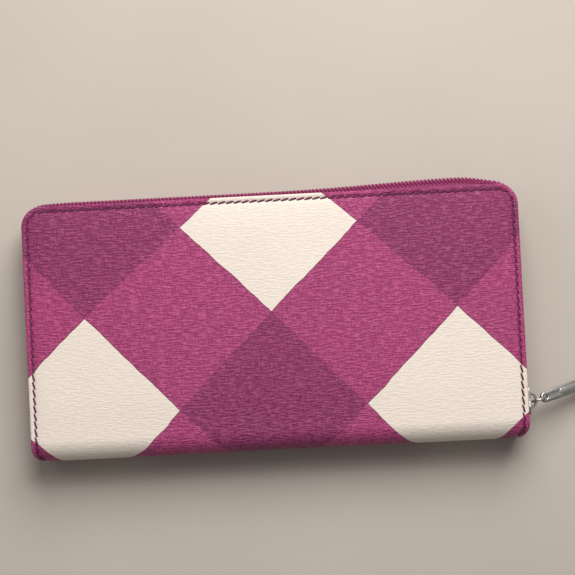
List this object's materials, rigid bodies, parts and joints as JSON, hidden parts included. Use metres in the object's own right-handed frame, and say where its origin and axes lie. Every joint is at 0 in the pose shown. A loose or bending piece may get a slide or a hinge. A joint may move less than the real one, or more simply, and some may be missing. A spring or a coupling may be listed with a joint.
{
  "type": "zip around wallet",
  "caption": "Long wallet whose two printed leather covers zip shut on three sides, with card slots, bill bays and a zipped coin pocket inside.",
  "frame": {"origin": "middle of the back cover's outer face, on the surface the closed wallet lies on", "axes": "+X along the long side towards the end where the zip closes, +Y from the spine to the zip's long side, +Z from the back cover to the front cover"},
  "size_m": [0.2361, 0.1047, 0.025],
  "materials": {
    "printed_leather": "fine cross-grain leather printed with a turned check in ivory, plum and magenta, soft sheen",
    "inner_leather": "smooth plum leather, satin",
    "stiffening_board": "plain board",
    "thread": "dark twisted sewing thread",
    "zip_tape": "tight woven tape",
    "zip_coil": "satin nylon coil",
    "lining_textile": "fine twill lining",
    "polished_metal": "polished nickel plate"
  },
  "bodies": {
    "back_half": {"back_cover_leather": "printed_leather", "back_cover_board": "stiffening_board", "back_inner_leather": "inner_leather", "back_seam_thread": "thread", "back_card_slot_1": "inner_leather", "back_card_slot_2": "inner_leather", "back_card_slot_3": "inner_leather", "back_card_slot_4": "inner_leather", "back_card_seam_thread": "thread", "zip_tape_back": "zip_tape", "zip_coil_back": "zip_coil", "zip_top_stop_back": "polished_metal", "zip_bottom_stop": "polished_metal", "gusset_back_left": "inner_leather", "gusset_back_right": "inner_leather"},
    "spine": {"spine_leather": "printed_leather", "spine_lining": "inner_leather", "coin_panel_back": "inner_leather", "coin_panel_front": "inner_leather", "coin_lining": "lining_textile", "coin_side_binding_left": "inner_leather", "coin_side_binding_right": "inner_leather", "coin_zip_tape_back": "zip_tape", "coin_zip_tape_front": "zip_tape", "coin_zip_coil_back": "zip_coil", "coin_zip_coil_front": "zip_coil", "coin_zip_stops": "polished_metal"},
    "front_half": {"front_cover_leather": "printed_leather", "front_cover_board": "stiffening_board", "front_inner_leather": "inner_leather", "front_seam_thread": "thread", "front_card_slot_1": "inner_leather", "front_card_slot_2": "inner_leather", "front_card_slot_3": "inner_leather", "front_card_slot_4": "inner_leather", "front_card_seam_thread": "thread", "zip_tape_front": "zip_tape", "zip_coil_front": "zip_coil", "zip_top_stop_front": "polished_metal", "gusset_front_left": "inner_leather", "gusset_front_right": "inner_leather"},
    "zip_slider": {"zip_slider": "polished_metal"},
    "pull_ring": {"pull_ring": "polished_metal"},
    "zip_pull": {"zip_pull": "polished_metal"},
    "coin_slider": {"coin_slider": "polished_metal"},
    "coin_pull": {"coin_pull": "polished_metal"}
  },
  "joints": [
    {"name": "spine_fold", "type": "hinge", "parent": "back_half", "child": "spine", "pos_m": [0, -0.04766, 0.00234], "axis": [1, 0, 0], "range_deg": [0, 40], "deforming": ["gusset_back_left", "gusset_back_right"]},
    {"name": "cover_fold", "type": "hinge", "parent": "spine", "child": "front_half", "pos_m": [0, -0.04766, 0.02266], "axis": [1, 0, 0], "range_deg": [0, 40], "deforming": ["gusset_front_left", "gusset_front_right", "zip_tape_front", "zip_coil_front"]},
    {"name": "zip_slide", "type": "slide", "parent": "back_half", "child": "zip_slider", "axis": [0, 1, 0], "range_m": [0, 0.052]},
    {"name": "ring_tilt", "type": "hinge", "parent": "zip_slider", "child": "pull_ring", "pos_m": [0.10195, -0.036, 0.0125], "axis": [0.2756, -0.9613, 0], "range_deg": [0, 60]},
    {"name": "pull_swing", "type": "hinge", "parent": "pull_ring", "child": "zip_pull", "pos_m": [0.10574, -0.03491, 0.0118], "axis": [0.1669, 0.0479, 0.9848], "range_deg": [-85, 55]},
    {"name": "coin_slide", "type": "slide", "parent": "spine", "child": "coin_slider", "axis": [-1, 0, 0], "range_m": [0, 0.138]},
    {"name": "coin_pull_swing", "type": "hinge", "parent": "coin_slider", "child": "coin_pull", "pos_m": [0.0694, 0.03285, 0.0125], "axis": [0, 0, -1], "range_deg": [0, 150]}
  ],
  "couplings": [
    {"joint": "cover_fold", "follows": "spine_fold", "ratio": 1}
  ]
}
